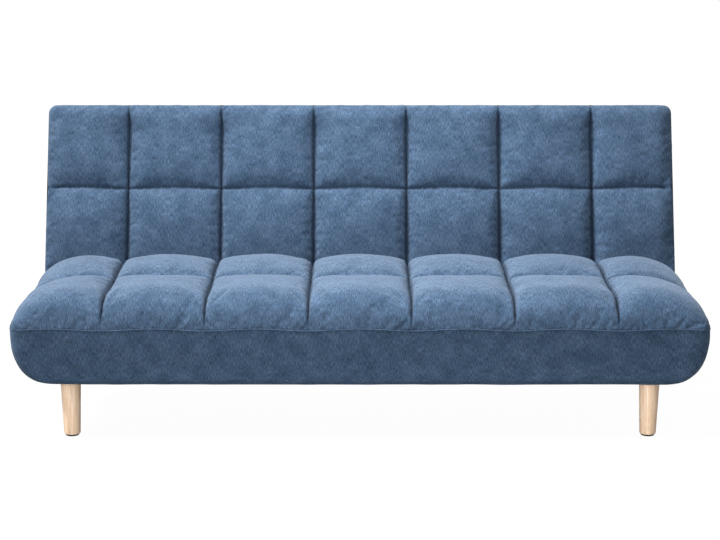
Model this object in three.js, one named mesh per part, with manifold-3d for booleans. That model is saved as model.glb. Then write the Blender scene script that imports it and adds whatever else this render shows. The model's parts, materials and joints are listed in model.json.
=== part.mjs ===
// Click-clack futon sofa bed: a quilted seat on four tapered wooden legs, with a quilted
// backrest that turns on two steel ratchet hinges from upright sofa to flat bed.
//
// Frame, in millimetres: +X to the sitter's left hand side seen from the front (the right of
// a front view), +Y towards the back, +Z up. The origin is on the floor, under the middle of
// the sofa's bounding box. Inside this file a place front to back is given as d, the distance
// behind the seat's front face, and the whole assembly is moved forward by half its depth.

import * as THREE from "three";
import { mergeVertices } from "three/addons/utils/BufferGeometryUtils.js";
import Module from "manifold-3d";

const wasm = await Module();
wasm.setup();

// ---------------------------------------------------------------- driving dimensions
const GAP = 0.3; // left between pieces that touch
const FABRIC = 4; // thickness of a cover with its wadding
const SIDES = [
  ["left", -1],
  ["right", 1],
];

// Seat upholstery
const SEAT_HALF = 900; // half of the seat's width
const SEAT_BACK = 505; // d of the seat's rear end
const SEAT_BOTTOM = 154;
const SEAT_TOP = 396;
const SEAM_Z = 302; // seam between the quilted top and the front band
const KNEE_DEPTH = 95; // how far the front edge rolls back above the seam
const BELLY = { z: 282, rx: 100 }; // side curve that runs in under the seat
const SHOULDER = { z: 300, rx: 150 }; // side curve from the band up to the top
const SEAT_CORNER = 28; // plan radius of the seat's corners
const SEAT_REAR_ROLL = 40;
const HEM = 12; // radius along the seat's lower edges
const UNDERSIDE = { x: 700, front: 65, back: 450 }; // open area under the seat cover
const DUST_COVER = { x: 720, front: 30, back: 475, thickness: 1.3 };
const FRAME_ROOM = 2; // between the foam and the steel frame
const SPRING_ROOM = 16; // above the frame, for the springs

// Backrest upholstery, in the backrest's own frame: x, y to its rear, z up along it
const BACK_HALF = 895;
const BACK_R = 60; // half of the thickness, and radius of the rounded lower end
const BACK_TOP = 476; // from the pivot to the top edge
const BACK_LEAN = THREE.MathUtils.degToRad(20);
const BACK_CORNER = 25; // radius of the top corners, seen from the front
const BACK_FRONT_ROLL = 24;
const BACK_REAR_ROLL = 14;

// Hinge axis
const PIVOT_D = 570;
const PIVOT_Z = 335;
const BACK_POSITIONS = [5, 20, 55, 90]; // leans from upright: release, sofa, reclined, bed

// Overall depth: front face to the rearmost point of the backrest's rolled top edge
const DEPTH =
  PIVOT_D +
  (BACK_TOP - BACK_REAR_ROLL) * Math.sin(BACK_LEAN) +
  (BACK_R - BACK_REAR_ROLL) * Math.cos(BACK_LEAN) +
  BACK_REAR_ROLL;

// Seat frame, steel tube
const FRAME_Z = 159;
const TUBE = 40;
const WALL = 2;
const TUBE_CORNER = 5;
const SIDE_TUBE = { x: 756, width: 50, front: 25, back: 655 };
const CAP = { face: 5, stem: 15 }; // thickness of the end cap outside the tube, length inside
const FRONT_TUBE_D = 45;
const REAR_TUBE_D = 460;
const LEG_BEAM_D = 630;
const CENTRE_TUBE_WIDTH = 30;
const INNER_SPAN = SIDE_TUBE.x - SIDE_TUBE.width / 2 - GAP; // half length of the cross tubes

// Springs
const SEAT_SPRING_X = [-600, -360, -120, 120, 360, 600];
const SPRING = { wire: 2, sweep: 24, loops: 6, arch: 8 };
const WIRE_SIDES = 4;

// Legs
const LEG = { x: 756, front: 75, back: LEG_BEAM_D, topR: 27, footR: 21.5 };
const STUD = { r: 4, hole: 4.4, depth: 40, nutR: 8, nut: 6, end: 3 };
const GLIDE = { r: 18, height: 4, edge: 1 };

// Hinge, seen from the side: points are [y, z] from the hinge axis
const PLATE = 6;
const BRACKET_X = SIDE_TUBE.x - SIDE_TUBE.width / 2 - GAP - PLATE; // inner face of the bracket
const RATCHET_X = BRACKET_X + PLATE + GAP; // inner face of ratchet plate and pawl
const HINGE_R = 30; // of the ratchet disc, and of the bracket's top
const BRACKET_OUTLINE = [
  [-34, -170],
  [34, -170],
  [42, -110],
  [40, -30],
];
const HINGE_PIN = { r: 6, hole: 6.4, headR: 9, head: 4 };
const PAWL_PIVOT = [26, -40];
const PAWL_NOSE = [2, -HINGE_R - 0.8];
const TOOTH = { tip: 2.5, root: 4.5, depth: 6 }; // half widths of the pawl's nose, and its height
const PAWL_BOSS = 7;
const PAWL_PAD = { from: 6, to: 13, top: -6, bottom: -13 }; // pushed up by the spring
const PAWL_TRAVEL = THREE.MathUtils.degToRad(10);
const TRAVEL_STEPS = 4;
const PAWL_PIN = { r: 3, hole: 3.4, headR: 5, head: 2.5 };
const PAWL_SPRING = { y: 37, top: -56, bottom: -98, r: 2.6, wire: 0.8, turns: 5 };
const BOLT = { r: 4, hole: 4.4, headR: 6.5, head: 5, length: 14 };
const BRACKET_BOLT_D = [-18, 18];
const SPRING_LUG = { r: 2.5, drop: 3 }; // under the pawl's spring

// Backrest frame, in the backrest's own frame
const BACK_TUBE = 30;
const BACK_TUBE_Y = 38; // middle of the tubes, behind the hinge axis
const BACK_SIDE_X = RATCHET_X + PLATE + GAP + BACK_TUBE / 2;
const BACK_LOW_Z = 85;
const BACK_HIGH_Z = 425;
const BACK_INNER_SPAN = BACK_SIDE_X - BACK_TUBE / 2 - GAP;
const STRAP = { width: 60, thickness: 2, x: [-540, -180, 180, 540] };
const STRAP_OVERLAP = 10; // past the middle of the top and bottom tubes
const RATCHET_BOLT_Z = [110, 150];
const RATCHET_ARM = { half: 16, shoulder: 48, bend: [78, 96], top: 170 };
const POCKET = { x: [706, 752], front: 35, top: 44 }; // slot in the upholstery for the hinge
const ARM_SLOT = { front: 22, top: 100 }; // from the pocket up to the frame, inside the foam

// ---------------------------------------------------------------- materials
const material = (color, roughness, metalness = 0) =>
  new THREE.MeshStandardMaterial({ color, roughness, metalness });
const BLUE_FABRIC = material(0x4e6d95, 0.95);
const FOAM = material(0xe8dfc0, 0.9);
const BLACK_CLOTH = material(0x1b1b1d, 0.95);
const BLACK_STEEL = material(0x1f2022, 0.5, 0.3);
const ZINC_STEEL = material(0x9da0a4, 0.4, 0.9);
const BEECH = material(0xdcb88f, 0.55);
const BLACK_PLASTIC = material(0x18181a, 0.6);
const WEBBING = material(0xc8c2b2, 0.9);

// ---------------------------------------------------------------- geometry helpers
const ALONG_X = new THREE.Matrix4().makeBasis(
  new THREE.Vector3(0, 1, 0),
  new THREE.Vector3(0, 0, 1),
  new THREE.Vector3(1, 0, 0),
);
const ALONG_Y = new THREE.Matrix4().makeBasis(
  new THREE.Vector3(1, 0, 0),
  new THREE.Vector3(0, 0, 1),
  new THREE.Vector3(0, -1, 0),
);

function prism(shape, from, to, curveSegments = 10) {
  const geometry = new THREE.ExtrudeGeometry(shape, {
    depth: to - from,
    bevelEnabled: false,
    curveSegments,
  });
  return geometry.translate(0, 0, from);
}

// A [y, z] outline carried along X, and an [x, z] outline carried along Y.
const alongX = (shape, from, to, segments) =>
  prism(shape, from, to, segments).applyMatrix4(ALONG_X);
const alongY = (shape, from, to, segments) =>
  prism(shape, -to, -from, segments).applyMatrix4(ALONG_Y);

function box(x, y, z) {
  const geometry = new THREE.BoxGeometry(x[1] - x[0], y[1] - y[0], z[1] - z[0]);
  return geometry.translate((x[0] + x[1]) / 2, (y[0] + y[1]) / 2, (z[0] + z[1]) / 2);
}

function solid(geometry) {
  const bare = geometry.clone();
  bare.deleteAttribute("normal");
  bare.deleteAttribute("uv");
  const merged = mergeVertices(bare, 1e-3);
  return new wasm.Manifold(
    new wasm.Mesh({
      numProp: 3,
      vertProperties: merged.attributes.position.array,
      triVerts: new Uint32Array(merged.index.array),
    }),
  );
}

function geometryOf(made) {
  const mesh = made.getMesh();
  const geometry = new THREE.BufferGeometry();
  geometry.setAttribute("position", new THREE.BufferAttribute(mesh.vertProperties, 3));
  geometry.setIndex(new THREE.BufferAttribute(mesh.triVerts, 1));
  geometry.computeVertexNormals();
  return geometry;
}

const cut = (geometry, ...tools) =>
  geometryOf(tools.reduce((made, tool) => made.subtract(solid(tool)), solid(geometry)));
const join = (geometry, ...others) =>
  geometryOf(others.reduce((made, other) => made.add(solid(other)), solid(geometry)));
const common = (geometry, ...others) =>
  geometryOf(others.reduce((made, other) => made.intersect(solid(other)), solid(geometry)));

// A shape with straight edges through [a, b] points.
const outline = (points) => new THREE.Shape(points.map(([a, b]) => new THREE.Vector2(a, b)));

// A turned piece from [radius, height] points, standing on Z.
function turned(points, segments = 24) {
  const profile = points.map(([r, z]) => new THREE.Vector2(r, z));
  return new THREE.LatheGeometry(profile, segments).rotateX(Math.PI / 2);
}

// A turned piece lying along X, from [radius, x] points, placed at [y, z].
const turnedAlongX = (points, y, z, segments = 12) =>
  turned(points, segments).rotateY(Math.PI / 2).translate(0, y, z);

const drill = (r, from, to, y, z) =>
  turnedAlongX([[0, from], [r, from], [r, to], [0, to]], y, z);

const drillDown = (r, from, to, x, y) =>
  turned([[0, from], [r, from], [r, to], [0, to]], 12).translate(x, y, 0);

// Both ends of an X interval, moved to the left or right side of the sofa.
const sided = (side, from, to) => (side > 0 ? [from, to] : [-to, -from]);

function node(parent, name, geometry, finish) {
  const mesh = new THREE.Mesh(geometry, finish);
  mesh.name = name;
  parent.add(mesh);
  return mesh;
}

// ---------------------------------------------------------------- upholstery outlines
function quarter(shape, x, y, rx, ry, start) {
  const from = THREE.MathUtils.degToRad(start);
  shape.absellipse(x, y, rx, ry, from, from + Math.PI / 2, false, 0);
}

// The seat's cross-section from side to side: it runs in under the sofa at both ends.
function seatSideOutline(inset) {
  const lowX = SEAT_HALF - BELLY.rx;
  const highX = SEAT_HALF - SHOULDER.rx;
  const lowR = [BELLY.rx - inset, BELLY.z - SEAT_BOTTOM - inset];
  const highR = [SHOULDER.rx - inset, SEAT_TOP - SHOULDER.z - inset];
  const shape = new THREE.Shape();
  shape.moveTo(-lowX, SEAT_BOTTOM + inset);
  quarter(shape, lowX, BELLY.z, ...lowR, -90);
  quarter(shape, highX, SHOULDER.z, ...highR, 0);
  quarter(shape, -highX, SHOULDER.z, ...highR, 90);
  quarter(shape, -lowX, BELLY.z, ...lowR, 180);
  return shape;
}

// The seat's cross-section from front to back: the front edge rolls over, the rear is blunt.
function seatFrontOutline(inset) {
  const roll = SEAT_REAR_ROLL;
  const shape = new THREE.Shape();
  quarter(shape, SEAT_BACK - HEM, SEAT_BOTTOM + HEM, HEM - inset, HEM - inset, -90);
  quarter(shape, SEAT_BACK - roll, SEAT_TOP - roll, roll - inset, roll - inset, 0);
  quarter(shape, KNEE_DEPTH, SEAM_Z, KNEE_DEPTH - inset, SEAT_TOP - SEAM_Z - inset, 90);
  quarter(shape, HEM, SEAT_BOTTOM + HEM, HEM - inset, HEM - inset, 180);
  return shape;
}

function roundedPlan(half, front, back, frontR, backR, inset) {
  const shape = new THREE.Shape();
  const [rf, rb] = [frontR - inset, backR - inset];
  quarter(shape, half - frontR, front + frontR, rf, rf, -90);
  quarter(shape, half - backR, back - backR, rb, rb, 0);
  quarter(shape, backR - half, back - backR, rb, rb, 90);
  quarter(shape, frontR - half, front + frontR, rf, rf, 180);
  return shape;
}

function seatBody(inset) {
  return common(
    alongY(seatSideOutline(inset), 0, SEAT_BACK, 6),
    alongX(seatFrontOutline(inset), -SEAT_HALF, SEAT_HALF, 5),
    prism(roundedPlan(SEAT_HALF, 0, SEAT_BACK, SEAT_CORNER, HEM, inset), 0, SEAT_TOP + 1, 3),
  );
}

// The backrest's cross-section from front to back: a round lower end about the hinge axis.
function backSideOutline(inset) {
  const r = BACK_R - inset;
  const [rear, front] = [BACK_REAR_ROLL, BACK_FRONT_ROLL];
  const shape = new THREE.Shape();
  shape.absarc(0, 0, r, Math.PI, 2 * Math.PI, false);
  quarter(shape, BACK_R - rear, BACK_TOP - rear, rear - inset, rear - inset, 0);
  quarter(shape, front - BACK_R, BACK_TOP - front, front - inset, front - inset, 90);
  return shape;
}

function backBody(inset) {
  const tall = roundedPlan(BACK_HALF, -BACK_R, BACK_TOP, BACK_CORNER, BACK_CORNER, inset);
  const plan = roundedPlan(BACK_HALF, -BACK_R, BACK_R, BACK_FRONT_ROLL, BACK_REAR_ROLL, inset);
  return common(
    alongX(backSideOutline(inset), -BACK_HALF, BACK_HALF, 7),
    alongY(tall, -BACK_R, BACK_R, 4),
    prism(plan, -BACK_R, BACK_TOP, 3),
  );
}

// ---------------------------------------------------------------- steel tube
// A rounded rectangle about the origin, smaller all round by the inset.
const roundedSection = (width, height, inset) =>
  roundedPlan(width / 2, -height / 2, height / 2, TUBE_CORNER, TUBE_CORNER, inset);

function tubeSection(width, height) {
  const shape = roundedSection(width, height, 0);
  shape.holes.push(roundedSection(width, height, WALL));
  return shape;
}

const tubeAlongX = (size, half, y, z) =>
  alongX(tubeSection(size, size), -half, half, 2).translate(0, y, z);

const tubeAlongY = (width, from, to, x) =>
  alongY(tubeSection(width, TUBE), from, to, 2).translate(x, 0, FRAME_Z + TUBE / 2);

const backTubeAlongZ = (x, from, to) =>
  prism(tubeSection(BACK_TUBE, BACK_TUBE), from, to, 2).translate(x, BACK_TUBE_Y, 0);

// ---------------------------------------------------------------- seat and base
function seatCover() {
  const half = SIDE_TUBE.width / 2 + 1;
  const tubeHoles = SIDES.map(([, side]) =>
    box(
      [side * SIDE_TUBE.x - half, side * SIDE_TUBE.x + half],
      [SEAT_BACK - 2 * HEM, SEAT_BACK + 1],
      [FRAME_Z - 1, FRAME_Z + TUBE + 1],
    ),
  );
  const legHoles = SIDES.map(([, side]) =>
    drillDown(LEG.topR + 1, SEAT_BOTTOM - 1, FRAME_Z, side * LEG.x, LEG.front),
  );
  const underside = box(
    [-UNDERSIDE.x, UNDERSIDE.x],
    [UNDERSIDE.front, UNDERSIDE.back],
    [SEAT_BOTTOM - 1, FRAME_Z],
  );
  return cut(seatBody(0), seatBody(FABRIC), underside, ...tubeHoles, ...legHoles);
}

function seatFoam() {
  const wellX = SIDE_TUBE.x + SIDE_TUBE.width / 2 + FRAME_ROOM;
  const well = box(
    [-wellX, wellX],
    [SIDE_TUBE.front - FRAME_ROOM, SEAT_BACK + 1],
    [SEAT_BOTTOM, FRAME_Z + TUBE + SPRING_ROOM],
  );
  return cut(seatBody(FABRIC + GAP), well);
}

function dustCover() {
  const top = SEAT_BOTTOM - GAP;
  return box(
    [-DUST_COVER.x, DUST_COVER.x],
    [DUST_COVER.front, DUST_COVER.back],
    [top - DUST_COVER.thickness, top],
  );
}

function sideTube(side) {
  const studs = [LEG.front, LEG.back].map((d) =>
    drillDown(STUD.hole, FRAME_Z - 1, FRAME_Z + WALL + 1, side * LEG.x, d),
  );
  const innerFace = SIDE_TUBE.x - SIDE_TUBE.width / 2;
  const innerWall = sided(side, innerFace - 1, innerFace + WALL + 1);
  const bolts = BRACKET_BOLT_D.map((d) =>
    drill(BOLT.hole, ...innerWall, PIVOT_D + d, FRAME_Z + TUBE / 2),
  );
  const tube = tubeAlongY(SIDE_TUBE.width, SIDE_TUBE.front, SIDE_TUBE.back, side * SIDE_TUBE.x);
  return cut(tube, ...studs, ...bolts);
}

function endCap(side) {
  const piece = (inset, from, to) => alongY(roundedSection(SIDE_TUBE.width, TUBE, inset), from, to, 2);
  const face = piece(0, SIDE_TUBE.back + GAP, SIDE_TUBE.back + CAP.face);
  const stem = piece(WALL + GAP, SIDE_TUBE.back - CAP.stem, SIDE_TUBE.back + 1);
  const cap = join(face, stem).translate(side * SIDE_TUBE.x, 0, FRAME_Z + TUBE / 2);
  return cut(cap, drillDown(STUD.nutR + 1, FRAME_Z, FRAME_Z + TUBE, side * LEG.x, LEG.back));
}

// A square tube across the sofa, centred at d, open at both ends.
const crossTube = (d) => tubeAlongX(TUBE, INNER_SPAN, d, FRAME_Z + TUBE / 2);

const centreTube = () =>
  tubeAlongY(
    CENTRE_TUBE_WIDTH,
    FRONT_TUBE_D + TUBE / 2 + GAP,
    REAR_TUBE_D - TUBE / 2 - GAP,
    0,
  );

function wireSection(r) {
  const turns = Array.from({ length: WIRE_SIDES }, (_, i) => (2 * Math.PI * i) / WIRE_SIDES);
  return outline(turns.map((a) => [r * Math.cos(a), r * Math.sin(a)]));
}

// Zigzag spring wire lying on the front and rear tubes, arched a little upwards.
class ZigzagCurve extends THREE.Curve {
  getPoint(t, target = new THREE.Vector3()) {
    const ends = Math.min(1, 12 * t, 12 * (1 - t));
    return target.set(
      SPRING.sweep * ends * Math.sin(2 * Math.PI * SPRING.loops * t),
      FRONT_TUBE_D + t * (REAR_TUBE_D - FRONT_TUBE_D),
      FRAME_Z + TUBE + SPRING.wire + GAP + 4 * SPRING.arch * t * (1 - t),
    );
  }
}

function wire(curve, r, steps) {
  return new THREE.ExtrudeGeometry(wireSection(r), { extrudePath: curve, steps });
}

const seatSpring = (x) =>
  wire(new ZigzagCurve(), SPRING.wire, 4 * SPRING.loops).translate(x, 0, 0);

function leg(x, d) {
  const top = FRAME_Z - GAP;
  const foot = GLIDE.height + GAP;
  const bore = top - STUD.depth - 1;
  return turned(
    [
      [0, foot],
      [LEG.footR - 2, foot],
      [LEG.footR, foot + 2],
      [LEG.topR, top - 1.5],
      [LEG.topR - 1.5, top],
      [STUD.hole, top],
      [STUD.hole, bore],
      [0, bore],
    ],
    32,
  ).translate(x, d, 0);
}

// A stud screwed into the leg, with the nut that holds it inside the tube.
function legStud(x, d) {
  const bottom = FRAME_Z - STUD.depth;
  const nut = FRAME_Z + WALL + GAP;
  return turned(
    [
      [0, bottom],
      [STUD.r, bottom],
      [STUD.r, nut],
      [STUD.nutR, nut],
      [STUD.nutR, nut + STUD.nut],
      [STUD.r, nut + STUD.nut],
      [STUD.r, nut + STUD.nut + STUD.end],
      [0, nut + STUD.nut + STUD.end],
    ],
    12,
  ).translate(x, d, 0);
}

function legGlide(x, d) {
  const profile = [
    [0, 0],
    [GLIDE.r - GLIDE.edge, 0],
    [GLIDE.r, GLIDE.edge],
    [GLIDE.r, GLIDE.height],
    [0, GLIDE.height],
  ];
  return turned(profile).translate(x, d, 0);
}

// ---------------------------------------------------------------- hinge
const atPivot = (geometry) => geometry.translate(0, PIVOT_D, PIVOT_Z);

function bracket(side) {
  const x = sided(side, BRACKET_X, BRACKET_X + PLATE);
  const shape = outline(BRACKET_OUTLINE);
  shape.absarc(0, 0, HINGE_R, 0, Math.PI, false);
  const lugX = sided(side, BRACKET_X + 1, RATCHET_X + PLATE);
  const lug = drill(SPRING_LUG.r, ...lugX, PAWL_SPRING.y, PAWL_SPRING.bottom - SPRING_LUG.drop);
  const bolts = BRACKET_BOLT_D.map((d) =>
    drill(BOLT.hole, x[0] - 1, x[1] + 1, d, FRAME_Z + TUBE / 2 - PIVOT_Z),
  );
  const plate = cut(
    alongX(shape, ...x, 12),
    drill(HINGE_PIN.hole, x[0] - 1, x[1] + 1, 0, 0),
    drill(PAWL_PIN.hole, x[0] - 1, x[1] + 1, ...PAWL_PIVOT),
    ...bolts,
  );
  return atPivot(join(plate, lug));
}

// A pin at [y, z] through the bracket and the plate beside it, headed at both ends.
function headedPin(side, pin, y, z) {
  const inner = BRACKET_X - GAP;
  const outer = RATCHET_X + PLATE + GAP;
  const profile = [
    [0, inner - pin.head],
    [pin.headR, inner - pin.head],
    [pin.headR, inner],
    [pin.r, inner],
    [pin.r, outer],
    [pin.headR, outer],
    [pin.headR, outer + pin.head],
    [0, outer + pin.head],
  ];
  const pinned = turnedAlongX(profile, y, z);
  return atPivot(side > 0 ? pinned : mirrored(pinned));
}

// A bolt with its head on the inner side, head face at x.
function bolt(side, x, y, z) {
  const profile = [
    [0, x - BOLT.head],
    [BOLT.headR, x - BOLT.head],
    [BOLT.headR, x],
    [BOLT.r, x],
    [BOLT.r, x + BOLT.length],
    [0, x + BOLT.length],
  ];
  const made = turnedAlongX(profile, y, z);
  return side > 0 ? made : mirrored(made);
}

// The same piece on the other side of the sofa, with its faces turned to point outwards.
function mirrored(geometry) {
  const flipped = geometry.clone().scale(-1, 1, 1);
  const index = flipped.index.array;
  for (let i = 0; i < index.length; i += 3) {
    [index[i + 1], index[i + 2]] = [index[i + 2], index[i + 1]];
  }
  return flipped;
}

// The pawl's nose, wider and higher by the clearance.
function noseOutline(clearance) {
  const [y, z] = PAWL_NOSE;
  const root = TOOTH.root + clearance;
  const tip = TOOTH.tip + clearance;
  return outline([
    [y - root, z - TOOTH.depth],
    [y + root, z - TOOTH.depth],
    [y + tip, z + clearance],
    [y - tip, z + clearance],
  ]);
}

// From the nose under the pivot to the pad over the spring, and back over the pivot's boss.
function pawlOutline() {
  const [py, pz] = PAWL_PIVOT;
  const [ny, nz] = PAWL_NOSE;
  const pad = PAWL_PAD;
  const shape = outline([
    [ny - TOOTH.root, nz - TOOTH.depth],
    [ny, nz - 2 * TOOTH.depth],
    [py - PAWL_BOSS / 2, pz - PAWL_BOSS],
    [py + pad.from, pz + pad.bottom],
    [py + pad.to, pz + pad.bottom],
    [py + pad.to, pz + pad.top],
  ]);
  shape.absarc(py, pz, PAWL_BOSS, 0, 0.6 * Math.PI, false);
  shape.lineTo(ny + TOOTH.root, nz - TOOTH.depth);
  shape.lineTo(ny + TOOTH.tip, nz);
  shape.lineTo(ny - TOOTH.tip, nz);
  return shape;
}

function pawl(side) {
  const x = sided(side, RATCHET_X, RATCHET_X + PLATE);
  return atPivot(
    cut(
      alongX(pawlOutline(), ...x, 8),
      drill(PAWL_PIN.hole, x[0] - 1, x[1] + 1, ...PAWL_PIVOT),
    ),
  );
}

class CoilCurve extends THREE.Curve {
  getPoint(t, target = new THREE.Vector3()) {
    const a = 2 * Math.PI * PAWL_SPRING.turns * t;
    return target.set(
      PAWL_SPRING.r * Math.cos(a),
      PAWL_SPRING.r * Math.sin(a),
      PAWL_SPRING.bottom + t * (PAWL_SPRING.top - PAWL_SPRING.bottom),
    );
  }
}

function pawlSpring(side) {
  const coil = wire(new CoilCurve(), PAWL_SPRING.wire, 6 * PAWL_SPRING.turns);
  const x = side * (RATCHET_X + PAWL_SPRING.r + PAWL_SPRING.wire + GAP);
  return atPivot(coil.translate(x, PAWL_SPRING.y, 0));
}

// Where the pawl's nose drops in, cut out of the ratchet plate at each backrest position.
function noseCuts(x) {
  const cuts = [];
  for (const lean of BACK_POSITIONS) {
    const turn = THREE.MathUtils.degToRad(lean);
    for (let step = 0; step <= TRAVEL_STEPS; step++) {
      const nose = alongX(noseOutline(1), x[0] - 1, x[1] + 1);
      nose.translate(0, -PAWL_PIVOT[0], -PAWL_PIVOT[1]);
      nose.rotateX((-PAWL_TRAVEL * step) / TRAVEL_STEPS);
      nose.translate(0, PAWL_PIVOT[0], PAWL_PIVOT[1]);
      cuts.push(nose.rotateX(turn));
    }
  }
  return cuts;
}

// In the backrest's frame: a notched disc round the pin, and an arm up to the side tube.
function ratchetPlate(side) {
  const x = sided(side, RATCHET_X, RATCHET_X + PLATE);
  const rear = BACK_TUBE_Y + BACK_TUBE / 2;
  const { half, shoulder, bend, top } = RATCHET_ARM;
  const arm = outline([
    [-half, 0],
    [half, 0],
    [half, shoulder],
    [rear, bend[0]],
    [rear, top],
    [rear - BACK_TUBE, top],
    [rear - BACK_TUBE, bend[1]],
    [-half, shoulder],
  ]);
  const disc = new THREE.Shape();
  disc.absarc(0, 0, HINGE_R, 0, 2 * Math.PI, false);
  const blank = join(alongX(arm, ...x), alongX(disc, ...x, 20));
  return cut(
    blank,
    drill(HINGE_PIN.hole, x[0] - 1, x[1] + 1, 0, 0),
    ...RATCHET_BOLT_Z.map((z) => drill(BOLT.hole, x[0] - 1, x[1] + 1, BACK_TUBE_Y, z)),
    ...noseCuts(x),
  );
}

// ---------------------------------------------------------------- backrest
const pocketX = (side) => sided(side, ...POCKET.x);

function hingePocket(side) {
  return box(pocketX(side), [-POCKET.front, BACK_R + 10], [-BACK_R - 10, POCKET.top]);
}

function backCover() {
  const pockets = SIDES.map(([, side]) => hingePocket(side));
  return cut(backBody(0), backBody(FABRIC), ...pockets);
}

function backFoam() {
  const reach = BACK_TUBE / 2 + FRAME_ROOM;
  const wellX = BACK_SIDE_X + reach;
  const well = box(
    [-wellX, wellX],
    [BACK_TUBE_Y - reach - STRAP.thickness, BACK_R + 1],
    [BACK_LOW_Z - reach, BACK_HIGH_Z + reach],
  );
  const armSlots = SIDES.map(([, side]) =>
    box(pocketX(side), [-ARM_SLOT.front, BACK_R + 1], [POCKET.top - 1, ARM_SLOT.top]),
  );
  const pockets = SIDES.map(([, side]) => hingePocket(side));
  return cut(backBody(FABRIC + GAP), well, ...armSlots, ...pockets);
}

function backSideTube(side) {
  const half = BACK_TUBE / 2;
  const inner = sided(side, BACK_SIDE_X - half - 1, BACK_SIDE_X - half + WALL + 1);
  return cut(
    backTubeAlongZ(side * BACK_SIDE_X, BACK_LOW_Z - half, BACK_HIGH_Z + half),
    ...RATCHET_BOLT_Z.map((z) => drill(BOLT.hole, ...inner, BACK_TUBE_Y, z)),
  );
}

// A tube between the side tubes, each end shorter by the clearance.
const backCrossTube = (z, clearance) =>
  tubeAlongX(BACK_TUBE, BACK_INNER_SPAN - clearance, BACK_TUBE_Y, z);

function backMiddleTube() {
  const reach = BACK_TUBE / 2 + GAP;
  return backTubeAlongZ(0, BACK_LOW_Z + reach, BACK_HIGH_Z - reach);
}

function strap(x) {
  const front = BACK_TUBE_Y - BACK_TUBE / 2 - GAP;
  return box(
    [x - STRAP.width / 2, x + STRAP.width / 2],
    [front - STRAP.thickness, front],
    [BACK_LOW_Z - STRAP_OVERLAP, BACK_HIGH_Z + STRAP_OVERLAP],
  );
}

// ---------------------------------------------------------------- assembly
const sofa = new THREE.Group();
const base = new THREE.Group();
base.position.y = -DEPTH / 2;
sofa.add(base);

node(base, "seat_cover", seatCover(), BLUE_FABRIC);
node(base, "seat_foam", seatFoam(), FOAM);
node(base, "seat_dust_cover", dustCover(), BLACK_CLOTH);
node(base, "seat_front_tube", crossTube(FRONT_TUBE_D), BLACK_STEEL);
node(base, "seat_rear_tube", crossTube(REAR_TUBE_D), BLACK_STEEL);
node(base, "rear_leg_beam", crossTube(LEG_BEAM_D), BLACK_STEEL);
node(base, "seat_centre_tube", centreTube(), BLACK_STEEL);
SEAT_SPRING_X.forEach((x, i) => {
  node(base, `seat_spring_${i + 1}`, seatSpring(x), ZINC_STEEL);
});

for (const [name, side] of SIDES) {
  node(base, `seat_side_tube_${name}`, sideTube(side), BLACK_STEEL);
  node(base, `tube_cap_${name}`, endCap(side), BLACK_PLASTIC);
  for (const [end, d] of [
    ["front", LEG.front],
    ["rear", LEG.back],
  ]) {
    node(base, `leg_${end}_${name}`, leg(side * LEG.x, d), BEECH);
    node(base, `leg_stud_${end}_${name}`, legStud(side * LEG.x, d), ZINC_STEEL);
    node(base, `leg_glide_${end}_${name}`, legGlide(side * LEG.x, d), BLACK_PLASTIC);
  }
  node(base, `hinge_bracket_${name}`, bracket(side), BLACK_STEEL);
  node(base, `hinge_pin_${name}`, headedPin(side, HINGE_PIN, 0, 0), ZINC_STEEL);
  node(base, `pawl_pin_${name}`, headedPin(side, PAWL_PIN, ...PAWL_PIVOT), ZINC_STEEL);
  node(base, `pawl_spring_${name}`, pawlSpring(side), ZINC_STEEL);
  node(base, `pawl_${name}`, pawl(side), ZINC_STEEL);
  BRACKET_BOLT_D.forEach((d, i) => {
    const made = bolt(side, BRACKET_X - GAP, PIVOT_D + d, FRAME_Z + TUBE / 2);
    node(base, `bracket_bolt_${name}_${i + 1}`, made, ZINC_STEEL);
  });
}

// The backrest leans back about the hinge axis.
const backrest = new THREE.Group();
backrest.position.set(0, PIVOT_D, PIVOT_Z);
backrest.rotation.x = -BACK_LEAN;
base.add(backrest);

node(backrest, "back_cover", backCover(), BLUE_FABRIC);
node(backrest, "back_foam", backFoam(), FOAM);
node(backrest, "back_top_tube", backCrossTube(BACK_HIGH_Z, 0), BLACK_STEEL);
node(backrest, "back_bottom_tube", backCrossTube(BACK_LOW_Z, PLATE + GAP), BLACK_STEEL);
node(backrest, "back_middle_tube", backMiddleTube(), BLACK_STEEL);
STRAP.x.forEach((x, i) => {
  node(backrest, `back_strap_${i + 1}`, strap(x), WEBBING);
});
for (const [name, side] of SIDES) {
  node(backrest, `back_side_tube_${name}`, backSideTube(side), BLACK_STEEL);
  node(backrest, `ratchet_plate_${name}`, ratchetPlate(side), ZINC_STEEL);
  RATCHET_BOLT_Z.forEach((z, i) => {
    const made = bolt(side, RATCHET_X - GAP, BACK_TUBE_Y, z);
    node(backrest, `ratchet_bolt_${name}_${i + 1}`, made, ZINC_STEEL);
  });
}

export default sofa;
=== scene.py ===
import json
import math

import bpy
import numpy as np
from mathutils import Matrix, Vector, noise


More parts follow.
